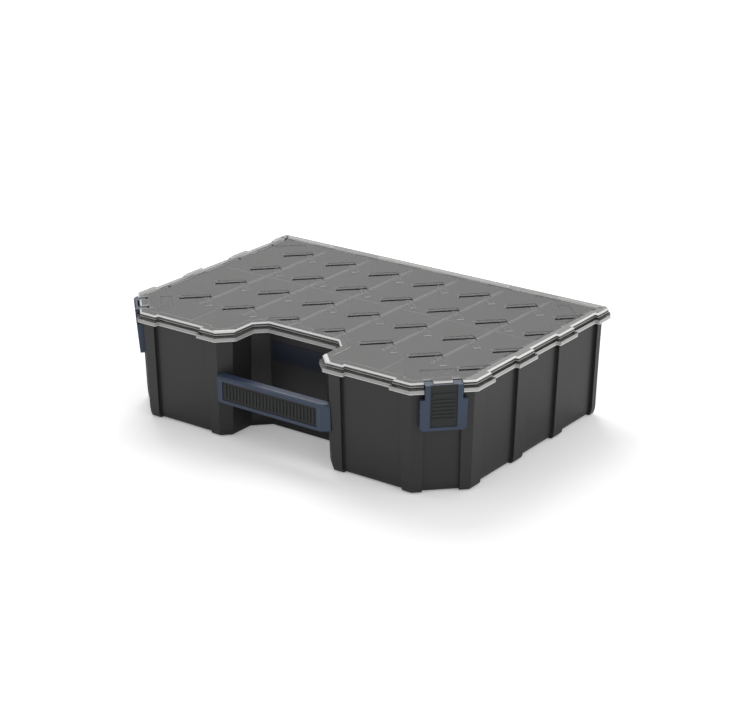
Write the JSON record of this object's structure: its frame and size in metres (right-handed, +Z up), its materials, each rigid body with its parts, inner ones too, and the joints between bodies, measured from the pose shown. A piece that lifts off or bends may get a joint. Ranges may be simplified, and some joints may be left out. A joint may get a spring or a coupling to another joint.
{
  "type": "small parts organizer case",
  "caption": "Portable organizer case with hinged clear lid, 45 degree latched corners, carrying handle in a front recess, and removable dividers.",
  "frame": {"origin": "on the surface it stands on, under the middle of its bounding box", "axes": "+X along the front to the right as seen from the handle side, +Y from the handle to the lid hinge, +Z up"},
  "size_m": [0.442, 0.3145, 0.12],
  "materials": {
    "case_black": "fine moulded texture",
    "lid_clear": "clear smoky moulded",
    "slate_blue": "satin moulded",
    "grip_black": "soft ribbed insert",
    "pin_steel": "ground pin",
    "divider_grey": "moulded sheet",
    "label_navy": "bare printed panel"
  },
  "bodies": {
    "case": {"case_body": "case_black", "handle_bar": "slate_blue", "handle_grip": "grip_black", "label_panel": "label_navy", "hinge_pin_right": "pin_steel", "hinge_pin_left": "pin_steel", "divider_long_1": "divider_grey", "divider_long_2": "divider_grey", "divider_long_3": "divider_grey", "divider_long_4": "divider_grey", "divider_long_5": "divider_grey", "divider_long_6": "divider_grey", "divider_cross_1": "divider_grey", "divider_cross_2": "divider_grey", "divider_cross_3": "divider_grey", "divider_cross_4": "divider_grey", "divider_cross_5": "divider_grey", "divider_cross_6": "divider_grey", "divider_cross_7": "divider_grey", "divider_pocket_left": "divider_grey", "divider_pocket_right": "divider_grey"},
    "lid": {"lid": "lid_clear", "latch_pin_right": "pin_steel", "latch_pin_left": "pin_steel"},
    "latch_right": {"latch_right": "slate_blue", "latch_grip_right": "grip_black"},
    "latch_left": {"latch_left": "slate_blue", "latch_grip_left": "grip_black"}
  },
  "joints": [
    {"name": "lid_hinge", "type": "hinge", "parent": "case", "child": "lid", "pos_m": [0, 0.15275, 0.113], "axis": [-1, 0, 0], "range_deg": [0, 110]},
    {"name": "latch_right_hinge", "type": "hinge", "parent": "lid", "child": "latch_right", "pos_m": [0.19282, -0.12867, 0.1155], "axis": [-0.7071, -0.7071, 0], "range_deg": [0, 90]},
    {"name": "latch_left_hinge", "type": "hinge", "parent": "lid", "child": "latch_left", "pos_m": [-0.19282, -0.12867, 0.1155], "axis": [-0.7071, 0.7071, 0], "range_deg": [0, 90]}
  ]
}
